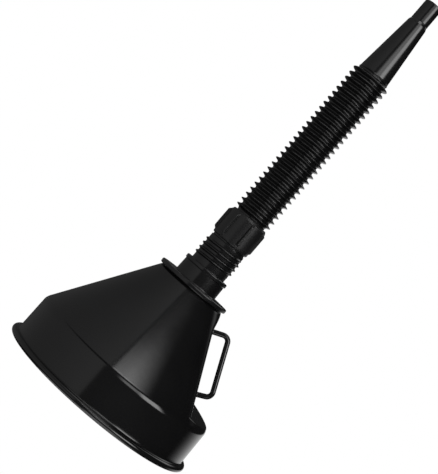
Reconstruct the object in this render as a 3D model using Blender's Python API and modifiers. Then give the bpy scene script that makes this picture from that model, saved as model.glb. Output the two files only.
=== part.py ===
"""Filling funnel with a strainer, a screw-on flexible spout and a bar handle.

The funnel stands on its mouth: the origin is the centre of the mouth plane, +Z runs up through
the outlet to the tip of the nozzle, and +X is the handle's side. Lengths are in metres.
"""

import math

import bmesh
import bpy
from mathutils import Matrix, Vector

MM = 0.001
GAP = 0.3 * MM                  # left between pieces that rest on each other

# Bowl: rim, collar, cone, and the flat panel that carries the handle
WALL = 2.0 * MM
RIM_RADIUS = 80.0 * MM
RIM_HEIGHT = 4.8 * MM
COLLAR_RADIUS = 75.9 * MM
SHOULDER_RADIUS = 75.3 * MM
SHOULDER_Z = 32.8 * MM
CONE_ANGLE = math.radians(33.3)
BODY_TOP_Z = 105.2 * MM
OUTLET_RADIUS = 24.0 * MM       # bore of the sleeve that hangs inside the cone's narrow end
SLEEVE_RADIUS = 25.8 * MM
SLEEVE_Z = (98.5 * MM, 102.5 * MM)
SEAT_Z = 31.6 * MM
SEAT_RADIUS = 70.6 * MM
MOUTH_RADIUS = 73.2 * MM
MOUTH_FLARE = 1.8 * MM          # how much the mouth widens at the rim

PANEL_ANGLE = math.radians(25.8)
PANEL_POINT = Vector((33.2 * MM, 0, 88.3 * MM))
PANEL_TOP_Z = 92.5 * MM
PANEL_END = (29.6 * MM, 101.8 * MM)
LEDGE_ANGLE = math.radians(10.0)
LEDGE_Z = 38.3 * MM

# Handle
HANDLE_RADIUS = 2.0 * MM
HANDLE_BEND_RADIUS = 4.5 * MM
HANDLE_ROUTE = ((33.3, 91.5), (43.5, 95.6), (62.3, 53.9), (54.3, 49.9))

# Strainer
STRAINER_RADIUS = 72.4 * MM
STRAINER_OPEN_RADIUS = 61.0 * MM
STRAINER_SUPPORT_RADIUS = 56.0 * MM
CLAMP_LIP_Z = 20.0 * MM
CLAMP_LIP_WIDTH = 0.9 * MM
CLAMP_SWEEP_RADIUS = 5.0 * MM   # hollow curve from the clamp ring's wall to the cloth
CLAMP_EDGE = 0.8 * MM
CLOTH_GRIP = 1.0 * MM           # room round the cloth's edge between the two rings
MESH_RADIUS = 66.0 * MM
MESH_PITCHES = (2.7 * MM, 4.1 * MM)
MESH_STRIDE = 4
WIRE = 0.6 * MM
MESH_RISE = 0.35 * MM
MESH_TURN = math.radians(25.0)
MESH_Z = 28.9 * MM

# Spout fitting
NECK_FLANGE_RADIUS = 29.8 * MM
NECK_FLANGE_Z = (BODY_TOP_Z + GAP, 108.8 * MM)
NECK_RADII = (17.9 * MM, 17.55 * MM)
NECK_RING_RADIUS = 18.35 * MM
NECK_RING_Z = (119.8 * MM, 122.7 * MM)
THREAD_CORE_RADIUS = 14.6 * MM
THREAD_CREST_RADIUS = 16.0 * MM
THREAD_PITCH = 3.95 * MM
THREAD_TURNS = 4
THREAD_START_Z = 126.15 * MM    # the ridge starts on +X
THREAD_TOP_Z = 145.0 * MM
SPIGOT_RADIUS = 13.95 * MM
NECK_TOP_Z = 157.4 * MM
NECK_BORE_RADIUS = 12.2 * MM
NECK_WIDE_BORE_RADIUS = 15.0 * MM
NECK_BORE_STEP = 1.5 * MM
PLUG_WALL = 3.3 * MM
PLUG_RADIUS = OUTLET_RADIUS - GAP
PLUG_BOTTOM_Z = 99.4 * MM
GROOVE_RADIUS = 21.9 * MM
GROOVE_Z = (102.4 * MM, 104.6 * MM)
O_RING_WIRE = 0.75 * MM

# Coupling nut
NUT_Z = (146.4 * MM, 169.8 * MM)
NUT_RADIUS = 15.4 * MM
NUT_SHOULDER_Z = 161.5 * MM
NUT_MOUTH_RADIUS = 12.5 * MM
NUT_TOP_RADIUS = 14.3 * MM
NUT_EDGE = 0.8 * MM
WING_COUNT = 7
WING_TURN = math.radians(17.4)
WING_RADIUS = 17.3 * MM
WING_WIDTH = 2.0 * MM
WING_Z = (148.6 * MM, 167.9 * MM)
WING_EDGE = 1.85 * MM           # each end of a wing is a ramp of this size
WING_ROOT = 1.0 * MM            # how deep a wing runs into the nut
SEAL_THICKNESS = 1.0 * MM

# Corrugated hose: the cuff carries the first rib and each section has three. The sections turn
# on planes half a pitch from the nearest rib.
RIB_PITCH = 4.773 * MM
FIRST_RIB_Z = 173.4 * MM
RIB_RADIUS = 15.5 * MM
RIB_FOOT = 1.2 * MM             # from a rib's crest to its foot, along the hose
VALLEY_RADIUS = 12.7 * MM
HOSE_BORE_RADIUS = 11.4 * MM
RIBS_PER_SECTION = 3
SECTION_COUNT = 9
SECTION_SETBACK = 1.05 * MM
SECTION_LENGTH = RIBS_PER_SECTION * RIB_PITCH
HOSE_START_Z = FIRST_RIB_Z + RIB_PITCH / 2
HOSE_END_Z = HOSE_START_Z + SECTION_COUNT * SECTION_LENGTH

CUFF_TUBE_RADIUS = 12.2 * MM
CUFF_BORE_RADIUS = 10.6 * MM
CUFF_FLANGE_RADIUS = 13.8 * MM

# Nozzle
NOZZLE_BASE_RADIUS = 12.4 * MM
NOZZLE_STEP_RADII = (7.85 * MM, 7.25 * MM)
NOZZLE_STEP_Z = (353.3 * MM, 355.5 * MM)
NOZZLE_TIP_RADIUS = 7.05 * MM
NOZZLE_TIP_EDGE = 0.6 * MM
NOZZLE_TIP_Z = 372.8 * MM
NOZZLE_WALL = 1.4 * MM

BODY_STEPS = 48
SPOUT_STEPS = 32
HOSE_STEPS = 20
THREAD_STEPS = 20               # points in one turn of the thread


def clear_scene():
    for old in list(bpy.data.objects):
        bpy.data.objects.remove(old, do_unlink=True)


def new_collection(name):
    collection = bpy.data.collections.new(name)
    bpy.context.scene.collection.children.link(collection)
    return collection


def plastic(name, color, roughness, metallic=0.0):
    material = bpy.data.materials.new(name)
    material.use_nodes = True
    shader = material.node_tree.nodes["Principled BSDF"]
    shader.inputs["Base Color"].default_value = (*color, 1.0)
    shader.inputs["Roughness"].default_value = roughness
    shader.inputs["Metallic"].default_value = metallic
    return material


def add_object(name, mesh, collection, material=None):
    obj = bpy.data.objects.new(name, mesh)
    collection.objects.link(obj)
    if material:
        mesh.materials.append(material)
    return obj


def finish_round(obj):
    obj.data.shade_smooth()
    obj.data.set_sharp_from_angle(angle=math.radians(35))


def turned(name, outline, collection, material=None, steps=SPOUT_STEPS):
    """A turned piece from (radius, height) points: down the outside, then back up the inside.

    The outline closes on itself, or ends on the axis at both ends.
    """
    on_axis = outline[0][0] < 1e-9 and outline[-1][0] < 1e-9
    mesh = bpy.data.meshes.new(name)
    points = [(radius, 0.0, height) for radius, height in outline]
    edges = [(i, i + 1) for i in range(len(points) - 1)]
    if not on_axis:
        edges.append((len(points) - 1, 0))
    mesh.from_pydata(points, edges, [])
    obj = add_object(name, mesh, collection, material)
    screw = obj.modifiers.new("turn", "SCREW")
    screw.angle = math.tau
    screw.steps = steps
    screw.render_steps = steps
    screw.use_merge_vertices = True
    screw.merge_threshold = 0.00001
    screw.use_smooth_shade = True
    return obj


def boolean(obj, other, operation):
    modifier = obj.modifiers.new(operation.lower(), "BOOLEAN")
    modifier.operation = operation
    modifier.solver = "EXACT"
    modifier.object = other


def hide_cutter(obj):
    obj.hide_render = True
    obj.display_type = "WIRE"


def prism(name, outline, depth, collection, material=None):
    """A flat outline of (x, z) points, extruded symmetrically along Y."""
    mesh = bpy.data.meshes.new(name)
    work = bmesh.new()
    front = [work.verts.new((x, -depth / 2, z)) for x, z in outline]
    face = work.faces.new(front)
    grown = bmesh.ops.extrude_face_region(work, geom=[face])
    moved = [v for v in grown["geom"] if isinstance(v, bmesh.types.BMVert)]
    bmesh.ops.translate(work, verts=moved, vec=(0, depth, 0))
    bmesh.ops.recalc_face_normals(work, faces=work.faces)
    work.to_mesh(mesh)
    work.free()
    return add_object(name, mesh, collection, material)


def arc(centre, radius, start, end, count):
    """Points along an arc in the (radius, height) plane, with angles in degrees."""
    angles = [math.radians(start + (end - start) * i / count) for i in range(count + 1)]
    return [(centre[0] + radius * math.cos(a), centre[1] + radius * math.sin(a)) for a in angles]


def rounded_route(corners, bend_radius, count):
    """The points of a route with each inner corner replaced by an arc."""
    points = [corners[0]]
    for before, corner, after in zip(corners, corners[1:], corners[2:]):
        towards = (before - corner).normalized()
        away = (after - corner).normalized()
        half = towards.angle(away) / 2
        reach = bend_radius / math.tan(half)
        centre = corner + (towards + away).normalized() * bend_radius / math.sin(half)
        first = corner + towards * reach - centre
        last = corner + away * reach - centre
        axis = first.cross(last)
        turn = first.angle(last)
        for i in range(count + 1):
            points.append(centre + Matrix.Rotation(turn * i / count, 3, axis) @ first)
    points.append(corners[-1])
    return points


def tube(name, points, radius, collection, material=None, resolution=2):
    """A round bar along a list of points, as a closed mesh."""
    curve = bpy.data.curves.new(name, "CURVE")
    curve.dimensions = "3D"
    curve.bevel_depth = radius
    curve.bevel_resolution = resolution
    curve.use_fill_caps = True
    spline = curve.splines.new("POLY")
    spline.points.add(len(points) - 1)
    for slot, point in zip(spline.points, points):
        slot.co = (*point, 1.0)
    guide = bpy.data.objects.new(name + "_route", curve)
    collection.objects.link(guide)
    graph = bpy.context.evaluated_depsgraph_get()
    mesh = bpy.data.meshes.new_from_object(guide.evaluated_get(graph))
    work = bmesh.new()
    work.from_mesh(mesh)
    bmesh.ops.remove_doubles(work, verts=work.verts, dist=0.000001)
    bmesh.ops.recalc_face_normals(work, faces=work.faces)
    work.to_mesh(mesh)
    work.free()
    bpy.data.objects.remove(guide, do_unlink=True)
    mesh.name = name
    return add_object(name, mesh, collection, material)


def cone_radius(height):
    return SHOULDER_RADIUS - math.tan(CONE_ANGLE) * (height - SHOULDER_Z)


def cone_height(radius):
    return SHOULDER_Z + (SHOULDER_RADIUS - radius) / math.tan(CONE_ANGLE)


def panel_x(height):
    return PANEL_POINT.x - math.tan(PANEL_ANGLE) * (height - PANEL_POINT.z)


def panel_cutter(name, inset, collection):
    """The space outside the handle's panel and above its ledge, grown inwards by inset."""
    across = inset / math.cos(PANEL_ANGLE)
    below = inset / math.cos(LEDGE_ANGLE)
    slope = math.tan(LEDGE_ANGLE)
    outside = RIM_RADIUS * 1.2
    corner_x = panel_x(LEDGE_Z)
    foot_z = LEDGE_Z - below
    foot_x = corner_x - across + math.tan(PANEL_ANGLE) * below
    outline = [
        (foot_x, foot_z),
        (outside, foot_z - slope * (outside - foot_x)),
        (outside, PANEL_END[1] + inset),
        (PANEL_END[0] - across, PANEL_END[1] + inset),
        (panel_x(PANEL_TOP_Z) - across, PANEL_TOP_Z),
    ]
    cutter = prism(name, outline, 2.4 * RIM_RADIUS, collection)
    hide_cutter(cutter)
    return cutter


def make_funnel_body(parts, cutters, material):
    bead = RIM_HEIGHT / 2
    outside = [(0.0, BODY_TOP_Z), (cone_radius(BODY_TOP_Z), BODY_TOP_Z)]
    fillet = 0.6 * MM
    outside += [(SHOULDER_RADIUS, SHOULDER_Z), (COLLAR_RADIUS, RIM_HEIGHT + 2 * fillet)]
    outside += [(COLLAR_RADIUS + fillet, RIM_HEIGHT)]
    outside += arc((RIM_RADIUS - bead, bead), bead, 75, -90, 6)
    outside += [(0.0, 0.0)]
    body = turned("funnel_body", outside, parts, material, BODY_STEPS)
    boolean(body, panel_cutter("panel_cutter", 0.0, cutters), "DIFFERENCE")

    shift = WALL / math.cos(CONE_ANGLE)
    overshoot = 5.0 * MM
    flare_z = 3.0 * MM
    sleeve_low, sleeve_high = SLEEVE_Z
    inside = [(0.0, BODY_TOP_Z + overshoot), (OUTLET_RADIUS, BODY_TOP_Z + overshoot)]
    inside += [(OUTLET_RADIUS, sleeve_low), (SLEEVE_RADIUS, sleeve_low)]
    inside += [(SLEEVE_RADIUS, sleeve_high), (cone_radius(sleeve_high) - shift, sleeve_high)]
    inside += [(SEAT_RADIUS, cone_height(SEAT_RADIUS + shift)), (SEAT_RADIUS, SEAT_Z)]
    inside += [(MOUTH_RADIUS - 0.3 * MM, SEAT_Z), (MOUTH_RADIUS + 0.2 * MM, flare_z)]
    inside += [(MOUTH_RADIUS + MOUTH_FLARE, 0.0), (MOUTH_RADIUS + MOUTH_FLARE, -overshoot)]
    inside += [(0.0, -overshoot)]
    hollow = turned("hollow_cutter", inside, cutters, None, BODY_STEPS)
    hide_cutter(hollow)
    boolean(hollow, panel_cutter("panel_inner_cutter", WALL, cutters), "DIFFERENCE")
    boolean(body, hollow, "DIFFERENCE")


def make_handle(parts, material):
    corners = [Vector((x * MM, 0.0, z * MM)) for x, z in HANDLE_ROUTE]
    out_of_panel = Vector((math.cos(PANEL_ANGLE), 0.0, math.sin(PANEL_ANGLE)))
    for end in (0, -1):
        on_panel = Vector((panel_x(corners[end].z), 0.0, corners[end].z))
        reach = (on_panel - corners[end]).dot(out_of_panel) + 2 * GAP
        corners[end] += out_of_panel * reach
    points = rounded_route(corners, HANDLE_BEND_RADIUS, 6)
    handle = tube("handle", points, HANDLE_RADIUS, parts, material)
    finish_round(handle)


def make_strainer(parts, cutters, plastic_material, wire_material):
    mesh_top = MESH_Z + MESH_RISE + WIRE
    clamp_top = MESH_Z - GAP
    lip_radius = STRAINER_RADIUS - CLAMP_LIP_WIDTH
    sweep_centre = (lip_radius - CLAMP_SWEEP_RADIUS, clamp_top - CLAMP_SWEEP_RADIUS - 1.2 * MM)
    outline = [(STRAINER_RADIUS, clamp_top), (STRAINER_RADIUS, CLAMP_LIP_Z)]
    outline += [(lip_radius, CLAMP_LIP_Z)] + arc(sweep_centre, CLAMP_SWEEP_RADIUS, 0, 90, 5)
    outline += [(STRAINER_OPEN_RADIUS, clamp_top - CLAMP_EDGE), (STRAINER_OPEN_RADIUS, clamp_top)]
    turned("strainer_clamp_ring", outline, parts, plastic_material, BODY_STEPS)

    top = SEAT_Z - GAP
    floor = mesh_top + GAP
    grip = MESH_RADIUS + CLOTH_GRIP
    outline = [(STRAINER_RADIUS, top), (STRAINER_RADIUS, MESH_Z), (grip, MESH_Z), (grip, floor)]
    outline += [(STRAINER_SUPPORT_RADIUS, floor), (STRAINER_SUPPORT_RADIUS, top)]
    turned("strainer_support_ring", outline, parts, plastic_material, BODY_STEPS)

    make_mesh(parts, cutters, wire_material)


def crossed_wires(name, turn, pitch, middle_z, collection, material=None):
    """One layer of straight parallel wires, clipped to the mesh's round outline."""
    work = bmesh.new()
    half_count = int(MESH_RADIUS / pitch)
    for i in range(-half_count, half_count + 1):
        offset = (i + 0.5) * pitch
        if abs(offset) > MESH_RADIUS - 0.5 * pitch:
            continue
        length = 2 * math.sqrt(MESH_RADIUS ** 2 - offset ** 2)
        place = Matrix.Rotation(turn, 4, "Z") @ Matrix.Translation((0.0, offset, middle_z))
        size = Matrix.Diagonal((length, WIRE, WIRE, 1.0))
        bmesh.ops.create_cube(work, size=1.0, matrix=place @ size)
    mesh = bpy.data.meshes.new(name)
    work.to_mesh(mesh)
    work.free()
    return add_object(name, mesh, collection, material)


def make_mesh(parts, cutters, material):
    """Every fourth wire of the cloth, as two crossed layers fused where they cross."""
    low = MESH_Z + WIRE / 2
    warp_pitch, weft_pitch = (MESH_STRIDE * pitch for pitch in MESH_PITCHES)
    mesh = crossed_wires("strainer_mesh", MESH_TURN, warp_pitch, low, parts, material)
    across = MESH_TURN + math.pi / 2
    weft = crossed_wires("weft_wires", across, weft_pitch, low + MESH_RISE, cutters)
    hide_cutter(weft)
    boolean(mesh, weft, "UNION")


def make_spout_neck(parts, cutters, material):
    flange_low, flange_high = NECK_FLANGE_Z
    ring_low, ring_high = NECK_RING_Z
    groove_low, groove_high = GROOVE_Z
    bore = NECK_BORE_RADIUS
    wide_bore = NECK_WIDE_BORE_RADIUS
    shoulder_z = THREAD_TOP_Z + THREAD_CORE_RADIUS - SPIGOT_RADIUS
    outline = [(SPIGOT_RADIUS, NECK_TOP_Z), (SPIGOT_RADIUS, shoulder_z)]
    outline += [(THREAD_CORE_RADIUS, THREAD_TOP_Z), (THREAD_CORE_RADIUS, ring_high)]
    outline += [(NECK_RING_RADIUS, ring_high), (NECK_RING_RADIUS, ring_low)]
    outline += [(NECK_RADII[1], ring_low), (NECK_RADII[0], flange_high)]
    outline += [(NECK_FLANGE_RADIUS, flange_high)]
    outline += [(NECK_FLANGE_RADIUS, flange_low), (PLUG_RADIUS, flange_low)]
    outline += [(PLUG_RADIUS, groove_high), (GROOVE_RADIUS, groove_high)]
    outline += [(GROOVE_RADIUS, groove_low), (PLUG_RADIUS, groove_low)]
    outline += [(PLUG_RADIUS, PLUG_BOTTOM_Z), (PLUG_RADIUS - PLUG_WALL, PLUG_BOTTOM_Z)]
    outline += [(wide_bore, flange_high + NECK_BORE_STEP), (wide_bore, ring_low - NECK_BORE_STEP)]
    outline += [(bore, ring_high), (bore, NECK_TOP_Z)]
    neck = turned("spout_neck", outline, parts, material, SPOUT_STEPS)

    ridge = (THREAD_CREST_RADIUS - THREAD_CORE_RADIUS) * 0.9
    radius = THREAD_CREST_RADIUS - ridge
    points = []
    for i in range(THREAD_TURNS * THREAD_STEPS + 1):
        angle = math.tau * i / THREAD_STEPS
        height = THREAD_START_Z + THREAD_PITCH * i / THREAD_STEPS
        points.append(Vector((radius * math.cos(angle), radius * math.sin(angle), height)))
    thread = tube("thread_ridge", points, ridge, cutters, None, 1)
    hide_cutter(thread)
    boolean(neck, thread, "UNION")


def make_neck_o_ring(parts, material):
    centre = (PLUG_RADIUS - O_RING_WIRE, sum(GROOVE_Z) / 2)
    section = arc(centre, O_RING_WIRE, 90, -270, 8)[:-1]
    turned("neck_o_ring", section, parts, material, BODY_STEPS)


def make_coupling_nut(parts, cutters, material):
    low, high = NUT_Z
    bore = SPIGOT_RADIUS + GAP
    outline = [(NUT_TOP_RADIUS, high), (NUT_RADIUS, WING_Z[1]), (NUT_RADIUS, low + NUT_EDGE)]
    outline += [(NUT_RADIUS - NUT_EDGE, low), (bore, low), (bore, NUT_SHOULDER_Z)]
    outline += [(NUT_MOUTH_RADIUS, NUT_SHOULDER_Z), (NUT_MOUTH_RADIUS, high)]
    nut = turned("coupling_nut", outline, parts, material, SPOUT_STEPS)

    root = NUT_RADIUS - WING_ROOT
    wing_low, wing_high = WING_Z
    wing_outline = [(root, wing_low), (WING_RADIUS - WING_EDGE, wing_low)]
    wing_outline += [(WING_RADIUS, wing_low + WING_EDGE), (WING_RADIUS, wing_high - WING_EDGE)]
    wing_outline += [(WING_RADIUS - WING_EDGE, wing_high), (root, wing_high)]
    for i in range(WING_COUNT):
        wing = prism(f"nut_wing_{i + 1}", wing_outline, WING_WIDTH, cutters)
        wing.rotation_euler = (0.0, 0.0, WING_TURN - math.pi / 2 + math.tau * i / WING_COUNT)
        hide_cutter(wing)
        boolean(nut, wing, "UNION")


def make_nut_seal(parts, material):
    low = NECK_TOP_Z + GAP
    high = low + SEAL_THICKNESS
    outline = [(CUFF_FLANGE_RADIUS, high), (CUFF_FLANGE_RADIUS, low)]
    outline += [(CUFF_BORE_RADIUS, low), (CUFF_BORE_RADIUS, high)]
    turned("nut_seal", outline, parts, material, SPOUT_STEPS)


def make_hose_cuff(parts, material):
    flange_low = NECK_TOP_Z + SEAL_THICKNESS + 2 * GAP
    flange_high = NUT_SHOULDER_Z - GAP
    top = HOSE_START_Z - SECTION_SETBACK
    outline = [(VALLEY_RADIUS, top)] + ribbed_outside(HOSE_START_Z - RIB_PITCH, 1)
    outline += [(CUFF_TUBE_RADIUS, NUT_Z[1]), (CUFF_TUBE_RADIUS, flange_high)]
    outline += [(CUFF_FLANGE_RADIUS, flange_high), (CUFF_FLANGE_RADIUS, flange_low)]
    outline += [(CUFF_BORE_RADIUS, flange_low), (CUFF_BORE_RADIUS, top)]
    turned("hose_cuff", outline, parts, material, SPOUT_STEPS)


def ribbed_outside(start, rib_count):
    """(radius, height) points down the outside of rib_count ribs whose lower valley is at start."""
    points = []
    for i in reversed(range(rib_count)):
        middle = start + (i + 0.5) * RIB_PITCH
        points += [(VALLEY_RADIUS, middle + RIB_FOOT), (RIB_RADIUS, middle)]
        points += [(VALLEY_RADIUS, middle - RIB_FOOT)]
    return points


def make_hose_sections(parts, material):
    for i in range(SECTION_COUNT):
        start = HOSE_START_Z + i * SECTION_LENGTH
        low = start + SECTION_SETBACK
        high = start + SECTION_LENGTH - SECTION_SETBACK
        outline = [(VALLEY_RADIUS, high)] + ribbed_outside(start, RIBS_PER_SECTION)
        outline += [(VALLEY_RADIUS, low), (HOSE_BORE_RADIUS, low), (HOSE_BORE_RADIUS, high)]
        turned(f"hose_section_{i + 1}", outline, parts, material, HOSE_STEPS)


def make_nozzle(parts, material):
    low = HOSE_END_Z + SECTION_SETBACK
    step_low, step_high = NOZZLE_STEP_Z
    wide, narrow = NOZZLE_STEP_RADII
    tip = NOZZLE_TIP_Z
    outline = [(NOZZLE_TIP_RADIUS - NOZZLE_TIP_EDGE, tip)]
    outline += [(NOZZLE_TIP_RADIUS, tip - NOZZLE_TIP_EDGE), (narrow, step_high)]
    outline += [(wide, step_low), (NOZZLE_BASE_RADIUS, low)]
    outline += [(NOZZLE_BASE_RADIUS - NOZZLE_WALL, low), (wide - NOZZLE_WALL, step_low)]
    outline += [(NOZZLE_TIP_RADIUS - NOZZLE_WALL, tip)]
    turned("nozzle", outline, parts, material, SPOUT_STEPS)


def main():
    clear_scene()
    parts = new_collection("funnel")
    cutters = new_collection("cutters")
    black = plastic("black_plastic", (0.012, 0.012, 0.013), 0.28)
    hose_black = plastic("hose_plastic", (0.014, 0.014, 0.015), 0.35)
    rubber = plastic("seal_rubber", (0.02, 0.02, 0.02), 0.7)
    steel = plastic("strainer_wire", (0.72, 0.73, 0.75), 0.25, 1.0)

    make_funnel_body(parts, cutters, black)
    make_handle(parts, black)
    make_strainer(parts, cutters, black, steel)
    make_spout_neck(parts, cutters, black)
    make_neck_o_ring(parts, rubber)
    make_coupling_nut(parts, cutters, black)
    make_nut_seal(parts, rubber)
    make_hose_cuff(parts, hose_black)
    make_hose_sections(parts, hose_black)
    make_nozzle(parts, hose_black)


main()
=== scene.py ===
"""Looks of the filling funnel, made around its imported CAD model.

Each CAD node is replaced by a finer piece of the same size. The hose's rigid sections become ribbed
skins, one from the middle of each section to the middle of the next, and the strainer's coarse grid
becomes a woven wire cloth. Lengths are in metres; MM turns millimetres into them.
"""

import math

import bpy
from mathutils import Matrix, Vector


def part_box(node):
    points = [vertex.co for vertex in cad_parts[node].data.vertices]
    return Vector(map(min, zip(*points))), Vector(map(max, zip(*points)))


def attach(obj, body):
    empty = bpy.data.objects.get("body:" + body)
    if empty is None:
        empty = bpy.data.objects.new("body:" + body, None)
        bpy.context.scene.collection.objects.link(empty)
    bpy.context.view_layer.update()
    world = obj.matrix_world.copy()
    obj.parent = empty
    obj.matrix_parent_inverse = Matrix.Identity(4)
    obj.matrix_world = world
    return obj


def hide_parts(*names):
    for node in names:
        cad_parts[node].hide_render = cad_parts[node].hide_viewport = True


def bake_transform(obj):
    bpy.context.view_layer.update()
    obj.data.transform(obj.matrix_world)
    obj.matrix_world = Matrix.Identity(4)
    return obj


MM = 0.001

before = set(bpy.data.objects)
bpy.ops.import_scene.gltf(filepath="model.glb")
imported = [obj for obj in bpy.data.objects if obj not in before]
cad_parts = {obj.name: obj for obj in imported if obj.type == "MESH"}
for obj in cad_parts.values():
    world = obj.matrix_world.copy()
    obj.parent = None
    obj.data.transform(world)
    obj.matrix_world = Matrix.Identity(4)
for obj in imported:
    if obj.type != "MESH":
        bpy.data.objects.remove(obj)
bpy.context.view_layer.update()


def low_z(node):
    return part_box(node)[0].z


def high_z(node):
    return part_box(node)[1].z


def radius_of(node):
    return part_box(node)[1].y


# Bowl
WALL = 2.0 * MM
RIM_RADIUS = radius_of("funnel_body")
BEAD = 2.4 * MM
COLLAR_RADIUS = 75.9 * MM
COLLAR_FOOT_Z = 6.0 * MM
SHOULDER_RADIUS = 75.3 * MM
SHOULDER_Z = 32.8 * MM
SHOULDER_ROUNDING = 1.4 * MM
CONE_ANGLE = math.radians(33.3)
MOUTH_RADIUS = 73.4 * MM
SEAT_Z = 31.6 * MM
SEAT_RADIUS = 70.6 * MM
OUTLET_RADIUS = 24.0 * MM
SLEEVE_RADIUS = 25.8 * MM
SLEEVE_Z = (98.5 * MM, 102.5 * MM)
BODY_TOP_Z = high_z("funnel_body")

# Flat panel behind the handle, and the ledge at its foot
PANEL_ANGLE = math.radians(25.8)
PANEL_POINT = (33.2 * MM, 88.3 * MM)
PANEL_TOP_Z = 92.5 * MM
PANEL_END = (29.6 * MM, 101.8 * MM)
LEDGE_ANGLE = math.radians(10.0)
LEDGE_Z = 38.3 * MM
PANEL_BEND_ROUNDING = 1.0 * MM
PANEL_EDGE_ROUNDING = 2.2 * MM
LEDGE_ROUNDING = 2.0 * MM

# Handle: its route is (x, z) in millimetres, and its flared ends sink into the panel
HANDLE_RADIUS = radius_of("handle")
HANDLE_BEND_RADIUS = 4.5 * MM
HANDLE_ROUTE = ((33.3, 91.5), (43.5, 95.6), (62.3, 53.9), (54.3, 49.9))
HANDLE_SINK = 0.6 * MM
HANDLE_ROOT = 1.3 * MM
HANDLE_FLARE = 0.9 * MM

# Strainer
STRAINER_RADIUS = radius_of("strainer_clamp_ring")
STRAINER_OPEN_RADIUS = 61.0 * MM
CLAMP_LIP = 0.9 * MM
CLAMP_THICKNESS = 1.2 * MM
CLAMP_SWEEP_RADIUS = 5.0 * MM
SUPPORT_OPEN_RADIUS = 56.0 * MM
CLOTH_RADIUS = 66.0 * MM
CLOTH_Z = (low_z("strainer_mesh") + high_z("strainer_mesh")) / 2
WIRE_RADIUS = 0.24 * MM
CLOTH_PITCHES = (2.7 * MM, 4.1 * MM)
CLOTH_TURN = math.radians(25.0)
CLOTH_MARGIN = 0.4 * MM

# Spout fitting
NECK_FLANGE_RADIUS = radius_of("spout_neck")
NECK_FLANGE_TOP_Z = 108.8 * MM
NECK_RADII = (17.9 * MM, 17.55 * MM)
NECK_RING_RADIUS = 18.35 * MM
NECK_RING_Z = (119.8 * MM, 122.7 * MM)
THREAD_CORE_RADIUS = 14.6 * MM
THREAD_CREST_RADIUS = 16.0 * MM
THREAD_PITCH = 3.95 * MM
THREAD_TURNS = 4
THREAD_START_Z = 126.15 * MM
THREAD_TOP_Z = 145.0 * MM
SPIGOT_RADIUS = 13.95 * MM
NECK_BORE_RADIUS = 12.2 * MM
NECK_WIDE_BORE_RADIUS = 15.0 * MM
PLUG_WALL = 3.3 * MM
PLUG_DEPTH = 6.1 * MM
PLUG_GAP = 0.3 * MM
GROOVE_RADIUS = 21.9 * MM
GROOVE_Z = (102.4 * MM, 104.6 * MM)

# Coupling nut
NUT_RADIUS = 15.4 * MM
NUT_TOP_RADIUS = 14.3 * MM
NUT_EDGE = 0.8 * MM
NUT_SHOULDER_Z = 161.5 * MM
NUT_MOUTH_RADIUS = 12.5 * MM
NUT_BORE_RADIUS = 14.25 * MM
WING_COUNT = 7
WING_TURN = math.radians(17.4)
WING_RADIUS = radius_of("coupling_nut")
WING_WIDTH = 2.0 * MM
WING_Z = (148.6 * MM, 167.9 * MM)
WING_RAMP = 1.85 * MM
WING_END_ROUNDING = 0.25
WING_END_LENGTH = 2.4 * MM

# A wing's cross-section, as fractions of half its width
WING_CROWN = 0.06
WING_FLAT = 0.82
WING_FLANK = 0.38

# Hose
RIB_PITCH = 4.773 * MM
FIRST_RIB_Z = 173.4 * MM
RIB_RADIUS = radius_of("hose_section_1")
VALLEY_RADIUS = 12.4 * MM
WAVE_HEIGHT = 0.85 * MM
RIB_WIDTH = 0.41
RIB_SQUARENESS = 2.5
HOSE_BORE_RADIUS = 11.4 * MM
RIB_HOLLOW = 1.3 * MM
RIB_HOLLOW_WIDTH = 0.4
SECTION_LENGTH = 3 * RIB_PITCH
CUFF_TUBE_RADIUS = 12.2 * MM
CUFF_BORE_RADIUS = 10.6 * MM
CUFF_GAP = 0.3 * MM

# Nozzle
NOZZLE_BASE_RADIUS = 12.4 * MM
NOZZLE_WALL = 1.4 * MM
NOZZLE_STEP_RADIUS = 7.85 * MM
NOZZLE_STEP_Z = (353.3 * MM, 355.5 * MM)
TIP_RADIUS = 7.05 * MM

# Stage and camera
FLOOR_Z = -0.5 * MM
FLOOR_HALF_WIDTH = 6.0
LENS = 95.47
CAMERA_PLACE = (-0.00894, -0.905, 0.14557)
CAMERA_ROLL = math.radians(49.4)


# ---------------------------------------------------------------- shapes

def smooth_min(a, b, width):
    """The smaller of a and b, rounded off where they are closer than width."""
    mix = min(1.0, max(0.0, 0.5 + 0.5 * (b - a) / width))
    return b + (a - b) * mix - width * mix * (1 - mix)


def smooth_max(a, b, width):
    return -smooth_min(-a, -b, width)


def smooth_step(value):
    value = min(1.0, max(0.0, value))
    return value * value * (3 - 2 * value)


def between(start, end, count):
    """count + 1 evenly spaced values from start to end."""
    return [start + (end - start) * i / count for i in range(count + 1)]


def even_angles(count):
    return [math.tau * i / count for i in range(count)]


def arc(centre, radius, start, end, count):
    """Points on an arc in the (radius, height) plane, with angles in degrees."""
    angles = [math.radians(a) for a in between(start, end, count)]
    return [(centre[0] + radius * math.cos(a), centre[1] + radius * math.sin(a)) for a in angles]


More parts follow.
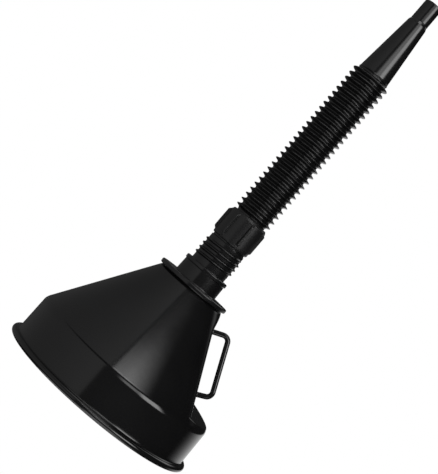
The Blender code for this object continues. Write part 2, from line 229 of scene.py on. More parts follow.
def rounded(corners, steps=4, support=0.2 * MM):
    """A closed outline of (radius, height, rounding) corners, with each corner as an arc.

    Long straight runs get a point close to each end, which keeps the flat faces flat when the
    mesh is shaded smooth.
    """
    points = []
    for i, (radius, height, rounding) in enumerate(corners):
        here = Vector((radius, height))
        before = Vector(corners[i - 1][:2]) - here
        after = Vector(corners[(i + 1) % len(corners)][:2]) - here
        half = before.angle(after) / 2
        if rounding <= 0 or half > math.radians(89):
            points.append(tuple(here))
            continue
        reach = min(rounding / math.tan(half), 0.48 * before.length, 0.48 * after.length)
        bend = reach * math.tan(half)
        middle = (before.normalized() + after.normalized()).normalized()
        centre = here + middle * bend / math.sin(half)
        first = here + before.normalized() * reach - centre
        last = here + after.normalized() * reach - centre
        start = math.atan2(first.y, first.x)
        sweep = (math.atan2(last.y, last.x) - start + math.pi) % math.tau - math.pi
        for angle in between(start, start + sweep, steps):
            points.append((centre.x + bend * math.cos(angle), centre.y + bend * math.sin(angle)))
    outline = []
    for here, there in zip(points, points[1:] + points[:1]):
        outline.append(here)
        run = Vector(there) - Vector(here)
        if run.length > 6 * support:
            step = run.normalized() * support
            outline.append((here[0] + step.x, here[1] + step.y))
            outline.append((there[0] - step.x, there[1] - step.y))
    return outline


def mesh_object(name, vertices, faces):
    mesh = bpy.data.meshes.new(name)
    mesh.from_pydata(vertices, [], faces)
    mesh.update()
    obj = bpy.data.objects.new(name, mesh)
    bpy.context.scene.collection.objects.link(obj)
    return obj


def shade(obj, sharp_degrees=50):
    obj.data.shade_smooth()
    obj.data.set_sharp_from_angle(angle=math.radians(sharp_degrees))


def grid_piece(name, rows, angles, place, sharp_degrees=50):
    """A closed ring-shaped piece: place(row, angle) gives each point, and rows run down the
    outside and back up the inside."""
    across = len(angles)
    vertices = [place(row, angle) for row in rows for angle in angles]
    faces = []
    for i in range(len(rows)):
        here = i * across
        below = (i + 1) % len(rows) * across
        for j in range(across):
            beside = (j + 1) % across
            faces.append((here + j, below + j, below + beside, here + beside))
    obj = mesh_object(name, vertices, faces)
    shade(obj, sharp_degrees)
    return obj


def on_circle(radius, angle, height):
    return (radius * math.cos(angle), radius * math.sin(angle), height)


def lathe(name, outline, steps=96, sharp_degrees=50):
    def place(point, angle):
        return on_circle(point[0], angle, point[1])
    return grid_piece(name, outline, even_angles(steps), place, sharp_degrees)


# ---------------------------------------------------------------- bowl and handle

def cone_radius(height):
    return SHOULDER_RADIUS - math.tan(CONE_ANGLE) * (height - SHOULDER_Z)


def collar_radius(height):
    taper = (COLLAR_RADIUS - SHOULDER_RADIUS) / (SHOULDER_Z - COLLAR_FOOT_Z)
    return SHOULDER_RADIUS + taper * (SHOULDER_Z - height)


def panel_x(height):
    return PANEL_POINT[0] - math.tan(PANEL_ANGLE) * (height - PANEL_POINT[1])


def panel_limit(height, inset):
    """How far out along X the bowl's wall may reach at this height, on the handle's side."""
    across = inset / math.cos(PANEL_ANGLE)
    below = inset / math.cos(LEDGE_ANGLE)
    foot_x = panel_x(LEDGE_Z) - across + math.tan(PANEL_ANGLE) * below
    foot_z = LEDGE_Z - below
    ledge_x = foot_x + (foot_z - height) / math.tan(LEDGE_ANGLE)
    limit = smooth_max(panel_x(height) - across, ledge_x, LEDGE_ROUNDING)
    if height > PANEL_TOP_Z - 5 * MM:
        slope = (PANEL_END[0] - panel_x(PANEL_TOP_Z)) / (PANEL_END[1] - PANEL_TOP_Z)
        end_x = panel_x(PANEL_TOP_Z) + slope * (height - PANEL_TOP_Z) - across
        limit = smooth_max(limit, end_x, PANEL_BEND_ROUNDING)
    return limit


def bowl_rows():
    """(radius, height, inset) rows; inset is None where the panel doesn't cut."""
    top_radius = cone_radius(BODY_TOP_Z)
    edge = 0.4 * MM
    rows = [(OUTLET_RADIUS + 0.3 * MM, BODY_TOP_Z, None), (top_radius - 1.0 * MM, BODY_TOP_Z, None)]
    rows += [(r, z, None) for r, z in arc((top_radius - edge, BODY_TOP_Z - edge), edge, 90, 10, 4)]
    heights = between(BODY_TOP_Z - 1.0 * MM, 40.0 * MM, 58)[:-1] + between(40.0 * MM, 29.5 * MM, 52)
    for z in heights:
        rows.append((smooth_min(collar_radius(z), cone_radius(z), SHOULDER_ROUNDING), z, 0.0))
    rows += [(collar_radius(z), z, None) for z in between(28.5 * MM, COLLAR_FOOT_Z, 8)]
    # The fillet between the collar and the rim's bead
    rows += [(76.1 * MM, 5.4 * MM, None), (76.4 * MM, 5.0 * MM, None), (76.9 * MM, 4.85 * MM, None)]
    rows += [(r, z, None) for r, z in arc((RIM_RADIUS - BEAD, BEAD), BEAD, 96, -90, 16)]
    # From the rim's flat underside into the mouth
    rows += [(75.9 * MM, 0.0, None), (75.3 * MM, 0.12 * MM, None), (74.7 * MM, 0.6 * MM, None)]
    rows += [(74.1 * MM, 1.5 * MM, None), (73.6 * MM, 2.8 * MM, None), (MOUTH_RADIUS, 4.0 * MM, None)]
    for t in between(0.1, 1, 9):
        rows.append((MOUTH_RADIUS - 0.5 * MM * t, 4.0 * MM + (SEAT_Z - 4.6 * MM) * t, None))
    # The strainer's seat, then the cone's inside
    rows += [(MOUTH_RADIUS - 0.8 * MM, SEAT_Z, None), (SEAT_RADIUS + 0.3 * MM, SEAT_Z, WALL)]
    shift = WALL / math.cos(CONE_ANGLE)
    sleeve_low, sleeve_high = SLEEVE_Z
    heights = between(SEAT_Z + 0.3 * MM, 40.0 * MM, 40)[:-1] + between(40.0 * MM, sleeve_high, 48)
    for z in heights:
        rows.append((smooth_min(SEAT_RADIUS, cone_radius(z) - shift, 1.0 * MM), z, WALL))
    # The sleeve at the outlet
    edge = 0.3 * MM
    rows += [(SLEEVE_RADIUS, sleeve_high, None), (SLEEVE_RADIUS, sleeve_low + edge, None)]
    rows += [(SLEEVE_RADIUS - edge, sleeve_low, None), (OUTLET_RADIUS + edge, sleeve_low, None)]
    rows += [(OUTLET_RADIUS, sleeve_low + edge, None), (OUTLET_RADIUS, BODY_TOP_Z - edge, None)]
    return rows


def bowl_angles():
    """Closer together across the panel than round the rest."""
    half = math.radians(50)
    return between(-half, half, 150)[:-1] + between(half, math.tau - half, 170)[:-1]


def place_on_bowl(row, angle):
    radius, height, inset = row
    if inset is not None and math.cos(angle) > 0.2:
        limit = panel_limit(height, inset) / math.cos(angle)
        radius = smooth_min(radius, limit, PANEL_EDGE_ROUNDING)
    return on_circle(radius, angle, height)


def make_bowl():
    return grid_piece("funnel_bowl", bowl_rows(), bowl_angles(), place_on_bowl, 60)


def rounded_route(corners, bend_radius, count):
    points = [corners[0]]
    for before, corner, after in zip(corners, corners[1:], corners[2:]):
        towards = (before - corner).normalized()
        away = (after - corner).normalized()
        half = towards.angle(away) / 2
        reach = bend_radius / math.tan(half)
        centre = corner + (towards + away).normalized() * bend_radius / math.sin(half)
        first = corner + towards * reach - centre
        last = corner + away * reach - centre
        axis = first.cross(last)
        turn = first.angle(last)
        for i in range(count + 1):
            points.append(centre + Matrix.Rotation(turn * i / count, 3, axis) @ first)
    points.append(corners[-1])
    return points


def swept_bar(name, points, radii, side, sides=20):
    """A closed round bar through points, with one radius for each; side is a direction that is
    across the bar everywhere."""
    vertices = []
    for i, point in enumerate(points):
        along = (points[min(i + 1, len(points) - 1)] - points[max(i - 1, 0)]).normalized()
        normal = side.cross(along).normalized()
        for j in range(sides):
            angle = math.tau * j / sides
            vertices.append(point + (normal * math.cos(angle) + side * math.sin(angle)) * radii[i])
    faces = []
    for i in range(len(points) - 1):
        here = i * sides
        there = here + sides
        for j in range(sides):
            beside = (j + 1) % sides
            faces.append((here + j, here + beside, there + beside, there + j))
    faces.append(tuple(reversed(range(sides))))
    faces.append(tuple(range(len(vertices) - sides, len(vertices))))
    obj = mesh_object(name, [tuple(v) for v in vertices], faces)
    shade(obj)
    return obj


def make_handle():
    corners = [Vector((x * MM, 0.0, z * MM)) for x, z in HANDLE_ROUTE]
    out_of_panel = Vector((math.cos(PANEL_ANGLE), 0.0, math.sin(PANEL_ANGLE)))
    for end in (0, -1):
        on_panel = Vector((panel_x(corners[end].z), 0.0, corners[end].z))
        corners[end] += out_of_panel * ((on_panel - corners[end]).dot(out_of_panel) - HANDLE_SINK)
    route = rounded_route(corners, HANDLE_BEND_RADIUS, 10)
    # How far each flared end reaches, in root lengths
    reach = 1.3
    first = (route[1] - route[0]).normalized()
    last = (route[-2] - route[-1]).normalized()
    starts = [route[0] + first * HANDLE_ROOT * t for t in between(0, reach, 6)]
    ends = [route[-1] + last * HANDLE_ROOT * t for t in between(reach, 0, 6)]
    points = starts + route[1:-1] + ends
    swell = [(1 - smooth_step(t / reach)) ** 2 for t in between(0, reach, 6)]
    flare = [HANDLE_RADIUS + HANDLE_FLARE * s for s in swell]
    radii = flare + [HANDLE_RADIUS] * (len(route) - 2) + flare[::-1]
    return swept_bar("bar_handle", points, radii, Vector((0, 1, 0)))


# ---------------------------------------------------------------- strainer

def make_strainer_rings():
    low = low_z("strainer_clamp_ring")
    high = high_z("strainer_clamp_ring")
    centre_radius = STRAINER_RADIUS - CLAMP_LIP - CLAMP_SWEEP_RADIUS
    centre_z = high - CLAMP_THICKNESS - CLAMP_SWEEP_RADIUS
    sweep = arc((centre_radius, centre_z), CLAMP_SWEEP_RADIUS, 4, 88, 10)
    corners = [(STRAINER_RADIUS, high, 0.3 * MM), (STRAINER_RADIUS, low, 0.3 * MM)]
    corners += [(STRAINER_RADIUS - CLAMP_LIP, low, 0.3 * MM)]
    corners += [(r, z, 0.0) for r, z in sweep]
    corners += [(STRAINER_OPEN_RADIUS, high - 0.8 * MM, 0.35 * MM)]
    corners += [(STRAINER_OPEN_RADIUS, high, 0.2 * MM)]
    clamp = lathe("strainer_clamp", rounded(corners), 160)

    top = high_z("strainer_support_ring")
    floor = top - 1.05 * MM
    grip = CLOTH_RADIUS + 1.0 * MM
    under = low_z("strainer_support_ring")
    corners = [(STRAINER_RADIUS, top, 0.3 * MM), (STRAINER_RADIUS, under, 0.3 * MM)]
    corners += [(grip, under, 0.15 * MM), (grip, floor, 0.0)]
    corners += [(SUPPORT_OPEN_RADIUS, floor, 0.25 * MM), (SUPPORT_OPEN_RADIUS, top, 0.4 * MM)]
    support = lathe("strainer_support", rounded(corners), 160)
    return clamp, support


def make_wire_cloth():
    """A plain weave: each wire waves over and under the wires that cross it."""
    sides = 6
    per_crossing = 4
    vertices = []
    faces = []
    for layer in (0, 1):
        spacing = CLOTH_PITCHES[layer]
        crossing = CLOTH_PITCHES[1 - layer]
        turn = CLOTH_TURN + layer * math.pi / 2
        along = Vector((math.cos(turn), math.sin(turn), 0.0))
        across = Vector((-math.sin(turn), math.cos(turn), 0.0))
        count = int(CLOTH_RADIUS / spacing)
        for i in range(-count, count + 1):
            offset = i * spacing
            half = math.sqrt(max(0.0, CLOTH_RADIUS ** 2 - offset ** 2)) - CLOTH_MARGIN
            if half < crossing:
                continue
            sign = 1 if (i + layer) % 2 else -1
            steps = int(2 * half / crossing * per_crossing)
            start = len(vertices)
            for t in between(-half, half, steps):
                wave = math.pi * t / crossing
                lift = sign * WIRE_RADIUS * math.cos(wave)
                slope = -sign * WIRE_RADIUS * math.sin(wave) * math.pi / crossing
                up = Vector((-slope * along.x, -slope * along.y, 1.0)).normalized()
                centre = along * t + across * offset + Vector((0, 0, CLOTH_Z + lift))
                for k in range(sides):
                    angle = math.tau * k / sides
                    point = centre + (across * math.cos(angle) + up * math.sin(angle)) * WIRE_RADIUS
                    vertices.append(tuple(point))
            for s in range(steps):
                ring = start + s * sides
                for k in range(sides):
                    beside = (k + 1) % sides
                    faces.append((ring + k, ring + sides + k, ring + sides + beside, ring + beside))
            faces.append(tuple(start + k for k in range(sides)))
            faces.append(tuple(start + steps * sides + k for k in reversed(range(sides))))
    cloth = mesh_object("wire_cloth", vertices, faces)
    cloth.data.shade_smooth()
    return cloth


# ---------------------------------------------------------------- spout fitting

def make_thread():
    """The screw thread's ridge, wound round its core and tapering off at both ends."""
    lift = THREAD_CREST_RADIUS - THREAD_CORE_RADIUS
    # Half of the ridge's section: (out, along), as fractions of its height and of the pitch
    profile = [(-0.25, -0.36), (0.0, -0.31), (0.35, -0.225), (0.7, -0.14), (0.92, -0.075)]
    profile += [(1.0, 0.0)] + [(out, -along) for out, along in reversed(profile)]
    per_turn = 72
    steps = THREAD_TURNS * per_turn
    run_out = per_turn / 14
    end_width = 0.35
    vertices = []
    for i in range(steps + 1):
        angle = math.tau * i / per_turn
        middle = THREAD_START_Z + THREAD_PITCH * i / per_turn
        size = smooth_step(min(i, steps - i) / run_out)
        for out, along in profile:
            height = lift * (out if out < 0 else out * size)
            width = THREAD_PITCH * along * (end_width + (1 - end_width) * size)
            vertices.append(on_circle(THREAD_CORE_RADIUS + height, angle, middle + width))
    across = len(profile)
    faces = []
    for i in range(steps):
        for j in range(across):
            beside = (j + 1) % across
            here, there = i * across, (i + 1) * across
            faces.append((here + j, there + j, there + beside, here + beside))
    faces.append(tuple(range(across)))
    faces.append(tuple(reversed(range(steps * across, (steps + 1) * across))))
    thread = mesh_object("neck_thread", vertices, faces)
    shade(thread, 60)
    return thread


def make_neck():
    flange_low = low_z("spout_neck") + PLUG_DEPTH
    plug_low = low_z("spout_neck")
    plug_radius = OUTLET_RADIUS - PLUG_GAP
    ring_low, ring_high = NECK_RING_Z
    top = high_z("spout_neck")
    corners = [(SPIGOT_RADIUS, top, 0.4 * MM), (SPIGOT_RADIUS, THREAD_TOP_Z + 0.4 * MM, 0.2 * MM)]
    corners += [(THREAD_CORE_RADIUS, THREAD_TOP_Z, 0.2 * MM), (THREAD_CORE_RADIUS, ring_high, 0.3 * MM)]
    corners += [(NECK_RING_RADIUS, ring_high, 0.8 * MM), (NECK_RING_RADIUS, ring_low, 0.8 * MM)]
    corners += [(NECK_RADII[1], ring_low, 0.4 * MM), (NECK_RADII[0], NECK_FLANGE_TOP_Z, 0.7 * MM)]
    corners += [(NECK_FLANGE_RADIUS, NECK_FLANGE_TOP_Z, 0.9 * MM)]
    corners += [(NECK_FLANGE_RADIUS, flange_low, 0.8 * MM), (plug_radius, flange_low, 0.1 * MM)]
    corners += [(plug_radius, GROOVE_Z[1], 0.15 * MM), (GROOVE_RADIUS, GROOVE_Z[1], 0.0)]
    corners += [(GROOVE_RADIUS, GROOVE_Z[0], 0.0), (plug_radius, GROOVE_Z[0], 0.15 * MM)]
    corners += [(plug_radius, plug_low, 0.5 * MM), (plug_radius - PLUG_WALL, plug_low, 0.4 * MM)]
    corners += [(NECK_WIDE_BORE_RADIUS, NECK_FLANGE_TOP_Z + 1.5 * MM, 2.0 * MM)]
    corners += [(NECK_WIDE_BORE_RADIUS, ring_low - 1.5 * MM, 1.5 * MM)]
    corners += [(NECK_BORE_RADIUS, ring_high, 1.5 * MM), (NECK_BORE_RADIUS, top, 0.3 * MM)]
    return lathe("threaded_neck", rounded(corners, 6), 120, 60)


def wing_angles():
    """Angles round the nut, closer together at the flanks of its wings."""
    offsets = (-1.5, -1.25, -1.1, -1.0, -0.9, -0.75, -0.5, 0.0, 0.5, 0.75, 0.9, 1.0, 1.1, 1.25, 1.5)
    half_width = WING_WIDTH / 2 / WING_RADIUS
    step = math.tau / WING_COUNT
    reach = offsets[-1] * half_width
    gap = step - 2 * reach
    angles = []
    for i in range(WING_COUNT):
        centre = WING_TURN - math.pi / 2 + i * step
        angles += [centre + o * half_width for o in offsets]
        angles += [centre + reach + gap * t for t in between(0, 1, 10)[1:-1]]
    return angles


def wing_lift(height, angle):
    step = math.tau / WING_COUNT
    turn = (angle - WING_TURN + math.pi / 2 + step / 2) % step - step / 2
    side = abs(turn) * WING_RADIUS / (WING_WIDTH / 2)
    crown = 1 - WING_CROWN * side * side
    across = crown * (1 - smooth_step((side - WING_FLAT) / WING_FLANK))
    end = max(0.0, min(height - WING_Z[0], WING_Z[1] - height)) / WING_RAMP
    return (WING_RADIUS - NUT_RADIUS) * across * smooth_min(1.0, end, WING_END_ROUNDING)


def make_nut():
    low, high = low_z("coupling_nut"), high_z("coupling_nut")
    wing_low, wing_high = WING_Z
    corners = [(NUT_TOP_RADIUS, high, 0.5 * MM), (NUT_RADIUS, wing_high, 0.0)]
    upper, lower = wing_high - WING_END_LENGTH, wing_low + WING_END_LENGTH
    heights = between(wing_high, upper, 14)[1:]
    heights += between(upper, lower, 10)[1:]
    heights += between(lower, wing_low, 14)[1:]
    corners += [(NUT_RADIUS, z, 0.0) for z in heights]
    corners += [(NUT_RADIUS, low + NUT_EDGE, 0.5 * MM), (NUT_RADIUS - NUT_EDGE, low, 0.4 * MM)]
    corners += [(NUT_BORE_RADIUS, low, 0.2 * MM), (NUT_BORE_RADIUS, NUT_SHOULDER_Z, 0.2 * MM)]
    corners += [(NUT_MOUTH_RADIUS, NUT_SHOULDER_Z, 0.2 * MM), (NUT_MOUTH_RADIUS, high, 0.3 * MM)]

    def place(point, angle):
        radius, height = point
        if abs(radius - NUT_RADIUS) < 0.01 * MM:
            radius += wing_lift(height, angle)
        return on_circle(radius, angle, height)

    return grid_piece("coupling_nut_body", rounded(corners), wing_angles(), place, 60)


def make_seals():
    low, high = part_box("nut_seal")
    ring = [(high.x, high.z, 0.2 * MM), (high.x, low.z, 0.2 * MM)]
    ring += [(CUFF_BORE_RADIUS, low.z, 0.2 * MM), (CUFF_BORE_RADIUS, high.z, 0.2 * MM)]
    washer = lathe("flat_seal", rounded(ring), 72)
    low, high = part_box("neck_o_ring")
    wire = (high.z - low.z) / 2
    section = arc((high.x - wire, (high.z + low.z) / 2), wire, 90, -270, 14)[:-1]
    o_ring = lathe("plug_o_ring", section, 120, 80)
    return washer, o_ring


def make_cuff():
    low = low_z("hose_cuff")
    flange_radius = radius_of("nut_seal")
    flange_high = NUT_SHOULDER_Z - CUFF_GAP
    top = high_z("coupling_nut") + 0.9 * MM
    corners = [(CUFF_TUBE_RADIUS, top, 0.0), (CUFF_TUBE_RADIUS, flange_high, 0.3 * MM)]
    corners += [(flange_radius, flange_high, 0.3 * MM), (flange_radius, low, 0.3 * MM)]
    corners += [(CUFF_BORE_RADIUS, low, 0.3 * MM), (CUFF_BORE_RADIUS, top, 0.0)]
    return lathe("hose_cuff_tube", rounded(corners), 96)


# ---------------------------------------------------------------- hose and nozzle

def hose_outside(height):
    """Radius of the corrugated hose: a narrow rib on the top of each wide shallow wave."""
    phase = (height - FIRST_RIB_Z) / RIB_PITCH
    distance = abs(phase - round(phase)) * 2
    rib = math.exp(-((distance / RIB_WIDTH) ** RIB_SQUARENESS))
    rib_height = RIB_RADIUS - VALLEY_RADIUS - WAVE_HEIGHT
    return VALLEY_RADIUS + WAVE_HEIGHT * (1 - distance) + rib_height * rib


def hose_inside(height):
    phase = (height - FIRST_RIB_Z) / RIB_PITCH
    distance = abs(phase - round(phase)) * 2
    return HOSE_BORE_RADIUS + RIB_HOLLOW * math.exp(-((distance / RIB_HOLLOW_WIDTH) ** 2))


def make_hose_skin(name, low, high, plain_low=None):
    """The hose's wall from low to high. It is plain below plain_low."""
    per_pitch = 20
    count = max(4, round((high - low) / RIB_PITCH * per_pitch))
    rows = []
    for z in between(high, low, count):
        radius = hose_outside(z)
        if plain_low is not None and z < plain_low:
            radius = CUFF_TUBE_RADIUS + 0.1 * MM
        rows.append((radius, z))
    inner_count = count // 2
    rows += [(hose_inside(z), z) for z in between(low, high, inner_count)]
    return lathe(name, rows, 96, 85)


def make_hose():
    """One skin for each joint, from the middle of one section to the middle of the next."""
    chain = ["cuff"] + [f"hose_{i}" for i in range(1, 10)] + ["nozzle"]
    first_joint = FIRST_RIB_Z + RIB_PITCH / 2
    skins = []
    for i in range(len(chain) - 1):
        joint = first_joint + i * SECTION_LENGTH
        low, high = joint - SECTION_LENGTH / 2, joint + SECTION_LENGTH / 2
        plain_low = None
        if i == 0:
            low = high_z("coupling_nut") - 0.6 * MM
            plain_low = FIRST_RIB_Z - 0.5 * RIB_PITCH
        if i == len(chain) - 2:
            high = joint + 0.9 * MM
        skin = make_hose_skin(f"hose_skin_{i + 1}", low, high, plain_low)
        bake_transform(skin)
        if i:
            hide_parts(f"hose_section_{i}")
        skins.append(skin)
    return skins


def make_nozzle():
    low = low_z("nozzle") - 0.4 * MM
    tip = high_z("nozzle")
    step_low, step_high = NOZZLE_STEP_Z
    # The plain tip, down to its shallow groove
    corners = [(TIP_RADIUS - 0.1 * MM, tip, 0.7 * MM), (TIP_RADIUS, step_high + 1.2 * MM, 0.3 * MM)]
    corners += [(TIP_RADIUS - 0.15 * MM, step_high + 0.8 * MM, 0.2 * MM)]
    corners += [(TIP_RADIUS + 0.1 * MM, step_high + 0.2 * MM, 0.2 * MM)]
    # The step, then the taper and its foot
    corners += [(NOZZLE_STEP_RADIUS - 0.15 * MM, step_low + 0.9 * MM, 0.4 * MM)]
    corners += [(NOZZLE_STEP_RADIUS, step_low, 0.6 * MM)]
    corners += [(NOZZLE_BASE_RADIUS, low + 1.2 * MM, 0.5 * MM)]
    corners += [(NOZZLE_BASE_RADIUS + 0.5 * MM, low, 0.2 * MM)]
    # The bore
    corners += [(HOSE_BORE_RADIUS, low, 0.1 * MM)]
    corners += [(NOZZLE_BASE_RADIUS - NOZZLE_WALL, low + 1.5 * MM, 0.5 * MM)]
    corners += [(NOZZLE_STEP_RADIUS - NOZZLE_WALL, step_low, 1.0 * MM)]
    corners += [(TIP_RADIUS - NOZZLE_WALL, tip, 0.4 * MM)]
    return lathe("tapered_nozzle", rounded(corners), 96)


# ---------------------------------------------------------------- materials

class Nodes:
    """Short calls for building a node tree."""

    def __init__(self, tree):
        self.tree = tree

    def add(self, kind, settings=None, inputs=None):
        node = self.tree.nodes.new(kind)
        for name, value in (settings or {}).items():
            setattr(node, name, value)
        for name, value in (inputs or {}).items():
            if isinstance(value, bpy.types.NodeSocket):
                self.tree.links.new(value, node.inputs[name])
            else:
                node.inputs[name].default_value = value
        return node

    def math(self, operation, first, second=0.0, third=0.0):
        inputs = {0: first, 1: second, 2: third}
        return self.add("ShaderNodeMath", {"operation": operation}, inputs).outputs[0]

    def noise(self, vector, scale, detail=4.0, roughness=0.5):
        inputs = {"Vector": vector, "Scale": scale, "Detail": detail, "Roughness": roughness}
        return self.add("ShaderNodeTexNoise", None, inputs).outputs["Fac"]

    def span(self, value, low, high, to_low, to_high, smooth=False):
        settings = {"interpolation_type": "SMOOTHSTEP" if smooth else "LINEAR"}
        inputs = {0: value, 1: low, 2: high, 3: to_low, 4: to_high}
        return self.add("ShaderNodeMapRange", settings, inputs).outputs[0]

    def stretched(self, vector, scale):
        return self.add("ShaderNodeMapping", None, {"Vector": vector, "Scale": scale}).outputs[0]

    def mix_colour(self, factor, first, second):
        inputs = {"Factor": factor, "A": first, "B": second}
        node = self.add("ShaderNodeMix", {"data_type": "RGBA"})
        for name, value in inputs.items():
            socket = next(s for s in node.inputs if s.name == name and s.type in ("RGBA", "VALUE")
                          and (name == "Factor" or s.type == "RGBA"))
            if isinstance(value, bpy.types.NodeSocket):
                self.tree.links.new(value, socket)
            else:
                socket.default_value = value
        return next(s for s in node.outputs if s.type == "RGBA")


def new_material(name):
    material = bpy.data.materials.new(name)
    material.use_nodes = True
    shader = material.node_tree.nodes["Principled BSDF"]
    return material, Nodes(material.node_tree), shader


def black_plastic(name, colour, dusty, roughness, grain, dust=0.0):
    """Moulded black plastic: near-black, half gloss, with a fine skin, flow marks and scuffs."""
    material, n, shader = new_material(name)
    place = n.add("ShaderNodeTexCoord").outputs["Object"]
    cloud = n.noise(place, 38.0, 3.0)
    skin = n.noise(place, 2600.0, 2.0)
    flow = n.noise(n.stretched(place, (1.0, 1.0, 0.25)), 160.0, 3.0)
    scratches = n.noise(n.stretched(place, (90.0, 90.0, 1500.0)), 1.0, 3.0, 0.6)
    scuff = n.span(scratches, 0.66, 0.78, 0.0, 1.0)
    patch = n.span(n.noise(place, 24.0, 2.0), 0.52, 0.68, 0.0, 1.0, True)
    scuffed = n.math("MULTIPLY", scuff, patch)

    speck = n.span(n.noise(place, 900.0, 3.0, 0.7), 0.62, 0.74, 0.0, 1.0)
    veil = n.span(cloud, 0.35, 0.7, 0.2, 1.0, True)
    dust_amount = n.math("MULTIPLY", n.math("MULTIPLY_ADD", speck, 0.7, 0.3), veil)
    dust_amount = n.math("MULTIPLY", dust_amount, dust)
    paler = tuple(c * 1.35 for c in colour[:3]) + (1.0,)
    dark = n.mix_colour(n.span(cloud, 0.3, 0.7, 0.0, 1.0), colour, paler)
    worn = n.mix_colour(n.math("MULTIPLY", scuffed, 0.35), dark, (0.05, 0.05, 0.052, 1.0))
    n.tree.links.new(n.mix_colour(dust_amount, worn, dusty), shader.inputs["Base Color"])

    rough = n.span(cloud, 0.3, 0.7, roughness * 0.92, roughness * 1.12)
    rough = n.math("MULTIPLY_ADD", scuffed, 0.12, rough)
    rough = n.math("MULTIPLY_ADD", dust_amount, 0.5, rough)
    n.tree.links.new(rough, shader.inputs["Roughness"])

    height = n.math("MULTIPLY_ADD", flow, 1.2, skin)
    height = n.math("MULTIPLY_ADD", scuffed, -0.6, height)
    bump = n.add("ShaderNodeBump", None, {"Height": height, "Strength": 1.0, "Distance": grain})
    n.tree.links.new(bump.outputs["Normal"], shader.inputs["Normal"])
    shader.inputs["Specular IOR Level"].default_value = 0.5
    return material


def steel_wire(name):
    material, n, shader = new_material(name)
    place = n.add("ShaderNodeTexCoord").outputs["Object"]
    cloud = n.noise(place, 60.0, 3.0)
    dull = (0.66, 0.67, 0.69, 1.0)
    clean = (0.86, 0.86, 0.87, 1.0)
    bright = n.mix_colour(n.span(cloud, 0.3, 0.7, 0.0, 1.0), dull, clean)
    n.tree.links.new(bright, shader.inputs["Base Color"])
    rough = n.span(n.noise(place, 1800.0, 2.0), 0.3, 0.7, 0.18, 0.34)
    n.tree.links.new(rough, shader.inputs["Roughness"])
    drawn = n.noise(n.stretched(place, (4000.0, 4000.0, 400.0)), 1.0, 2.0)
    bump = n.add("ShaderNodeBump", None, {"Height": drawn, "Strength": 0.6, "Distance": 0.00002})
    n.tree.links.new(bump.outputs["Normal"], shader.inputs["Normal"])
    shader.inputs["Metallic"].default_value = 1.0
    return material


def seal_rubber(name):
    material, n, shader = new_material(name)
    place = n.add("ShaderNodeTexCoord").outputs["Object"]
    cloud = n.noise(place, 120.0, 4.0)
    darkest = (0.014, 0.014, 0.014, 1.0)
    palest = (0.03, 0.03, 0.029, 1.0)
    tint = n.mix_colour(n.span(cloud, 0.35, 0.65, 0.0, 1.0), darkest, palest)
    n.tree.links.new(tint, shader.inputs["Base Color"])
    n.tree.links.new(n.span(cloud, 0.3, 0.7, 0.55, 0.75), shader.inputs["Roughness"])
    skin = n.noise(place, 1500.0, 3.0)
    bump = n.add("ShaderNodeBump", None, {"Height": skin, "Strength": 1.0, "Distance": 0.00004})
    n.tree.links.new(bump.outputs["Normal"], shader.inputs["Normal"])
    return material


def finish_piece(piece, material, body=None, node=None):
    piece.data.materials.clear()
    piece.data.materials.append(material)
    if body:
        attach(piece, body)
    if node:
        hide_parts(node)


def make_pieces():
    dust = (0.16, 0.16, 0.15, 1.0)
    bowl = black_plastic("bowl_plastic", (0.004, 0.004, 0.0042, 1.0), dust, 0.11, 0.000006)
    fitting = black_plastic("fitting_plastic", (0.005, 0.005, 0.0052, 1.0), dust, 0.17, 0.000005)
    nut = black_plastic("nut_plastic", (0.006, 0.006, 0.0062, 1.0), dust, 0.30, 0.000010)
    hose = black_plastic("hose_plastic", (0.005, 0.005, 0.0052, 1.0), dust, 0.18, 0.000005)
    strainer = black_plastic("strainer_plastic", (0.016, 0.016, 0.016, 1.0), dust, 0.34, 0.00003, 0.35)
    wire = steel_wire("strainer_wire")
    rubber = seal_rubber("seal_rubber")

    finish_piece(make_bowl(), bowl, "funnel", "funnel_body")
    finish_piece(make_handle(), bowl, "funnel", "handle")
    clamp, support = make_strainer_rings()
    finish_piece(clamp, strainer, "strainer", "strainer_clamp_ring")
    finish_piece(support, strainer, "strainer", "strainer_support_ring")
    finish_piece(make_wire_cloth(), wire, "strainer", "strainer_mesh")
    finish_piece(make_neck(), fitting, "fitting", "spout_neck")
    finish_piece(make_thread(), fitting, "fitting")
    finish_piece(make_nut(), nut, "nut", "coupling_nut")
    washer, o_ring = make_seals()
    finish_piece(washer, rubber, "seal", "nut_seal")
    finish_piece(o_ring, rubber, "fitting", "neck_o_ring")
    finish_piece(make_cuff(), hose, "cuff", "hose_cuff")
    for skin in make_hose():
        finish_piece(skin, hose)
    finish_piece(make_nozzle(), hose, "nozzle", "nozzle")


# ---------------------------------------------------------------- stage, light and camera

def make_floor():
    size = FLOOR_HALF_WIDTH
    corners = [(x, y, FLOOR_Z) for x, y in ((-size, -size), (size, -size), (size, size), (-size, size))]
    floor = mesh_object("floor", corners, [(0, 1, 2, 3)])
    material, _, shader = new_material("floor_white")
    shader.inputs["Base Color"].default_value = (0.0, 0.0, 0.0, 1.0)
    shader.inputs["Emission Color"].default_value = (1.0, 1.0, 1.0, 1.0)
    shader.inputs["Emission Strength"].default_value = 1.0
    shader.inputs["Specular IOR Level"].default_value = 0.0
    floor.data.materials.append(material)
    floor.visible_glossy = False
    floor.visible_diffuse = False
    floor.visible_shadow = False


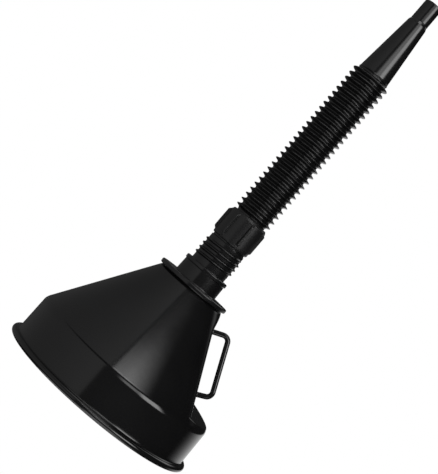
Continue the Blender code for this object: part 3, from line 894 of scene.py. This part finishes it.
def make_world():
    """A white studio: the camera sees plain white, and the plastic reflects large soft panels."""
    world = bpy.data.worlds.new("studio")
    bpy.context.scene.world = world
    world.use_nodes = True
    tree = world.node_tree
    tree.nodes.clear()
    n = Nodes(tree)
    direction = n.add("ShaderNodeTexCoord").outputs["Generated"]
    split = n.add("ShaderNodeSeparateXYZ", None, {0: direction})
    x, y, z = (split.outputs[i] for i in range(3))
    # Both angles are in degrees. Azimuth 0 is towards the camera and grows towards +X.
    degrees = 180 / math.pi
    azimuth = n.math("MULTIPLY", n.math("ARCTAN2", x, n.math("MULTIPLY", y, -1.0)), degrees)
    elevation = n.math("MULTIPLY", n.math("ARCSINE", z), degrees)
    # The elevation again, bent so that an edge drawn by it drops towards both sides
    bow = 0.00175
    bowed = n.math("MULTIPLY_ADD", n.math("MULTIPLY", azimuth, azimuth), bow, elevation)

    def panel(level, left, right, low, high, top=elevation):
        """A light panel; each edge is a pair of angles in degrees, between which it fades."""
        value = n.span(azimuth, *left, 0.0, 1.0, True)
        value = n.math("MULTIPLY", value, n.span(azimuth, *right, 1.0, 0.0, True))
        value = n.math("MULTIPLY", value, n.span(elevation, *low, 0.0, 1.0, True))
        value = n.math("MULTIPLY", value, n.span(top, *high, 1.0, 0.0, True))
        return n.math("MULTIPLY", value, level)

    # Two dim walls, which meet at a seam on the -X side of the camera
    seam = (-17.8, -16.2)
    eye_level = n.span(elevation, -28.0, -20.0, 0.0, 1.0)
    eye_level = n.math("MULTIPLY", eye_level, n.span(elevation, 31.0, 37.0, 1.0, 0.0))
    bands = n.math("MAXIMUM", eye_level, n.span(bowed, 47.0, 53.0, 0.12, 1.0))
    left_wall = n.span(azimuth, -165.0, -25.0, 0.06, 0.55)
    left_wall = n.math("MULTIPLY", left_wall, n.span(azimuth, *seam, 1.0, 0.0))
    left_wall = n.math("MULTIPLY", left_wall, bands)
    right_wall = n.span(azimuth, 20.0, 110.0, 0.13, 0.02)
    right_wall = n.math("MULTIPLY", right_wall, n.span(azimuth, *seam, 0.0, 1.0))

    key_level = n.span(azimuth, -12.0, 16.0, 3.8, 6.0)
    key = panel(key_level, (-14.0, -11.0), (12.0, 62.0), (47.0, 53.0), (58.2, 60.8), bowed)
    low_key = panel(3.0, (-2.0, 14.0), (24.0, 38.0), (11.5, 16.0), (33.0, 39.0))
    side_key = panel(6.5, (28.0, 40.0), (58.0, 70.0), (5.0, 10.0), (33.0, 39.0))
    under_key = panel(2.2, (-8.0, 0.0), (38.0, 56.0), (-64.0, -56.0), (-30.0, -22.0))
    floor_glow = n.span(elevation, -62.0, -50.0, 1.6, 0.0, True)
    top_glow = n.span(elevation, 70.0, 80.0, 0.0, 1.2, True)
    back_glow = panel(0.95, (112.0, 150.0), (180.0, 181.0), (-30.0, -14.0), (-5.0, -0.5))
    back_panel_right = panel(1.6, (120.0, 140.0), (180.0, 181.0), (20.0, 34.0), (58.0, 66.0))
    back_panel_left = panel(1.6, (-181.0, -180.0), (-170.0, -150.0), (28.0, 40.0), (58.0, 66.0))
    lights = [right_wall, key, low_key, side_key, under_key, floor_glow, top_glow]
    lights += [back_glow, back_panel_right, back_panel_left]
    level = left_wall
    for light in lights:
        level = n.math("ADD", level, light)

    studio = n.add("ShaderNodeBackground", None, {"Strength": level}).outputs[0]
    white = n.add("ShaderNodeBackground", None, {"Color": (1, 1, 1, 1), "Strength": 1.0}).outputs[0]
    to_camera = n.add("ShaderNodeLightPath").outputs["Is Camera Ray"]
    mixed = n.add("ShaderNodeMixShader", None, {0: to_camera, 1: studio, 2: white}).outputs[0]
    n.add("ShaderNodeOutputWorld", None, {0: mixed})


def make_camera():
    """Level with the coupling nut, looking along +Y, rolled so that the spout points up-right."""
    camera = bpy.data.objects.new("camera", bpy.data.cameras.new("camera"))
    bpy.context.scene.collection.objects.link(camera)
    camera.data.sensor_width = 36.0
    camera.data.lens = LENS
    camera.data.clip_start = 0.01
    right = Vector((math.sin(CAMERA_ROLL), 0.0, math.cos(CAMERA_ROLL)))
    up = Vector((-math.cos(CAMERA_ROLL), 0.0, math.sin(CAMERA_ROLL)))
    back = right.cross(up)
    placed = Matrix((right, up, back)).transposed().to_4x4()
    placed.translation = Vector(CAMERA_PLACE)
    camera.matrix_world = placed
    bpy.context.scene.camera = camera


bpy.context.scene.view_settings.view_transform = "Standard"
make_camera()
make_pieces()
make_floor()
make_world()
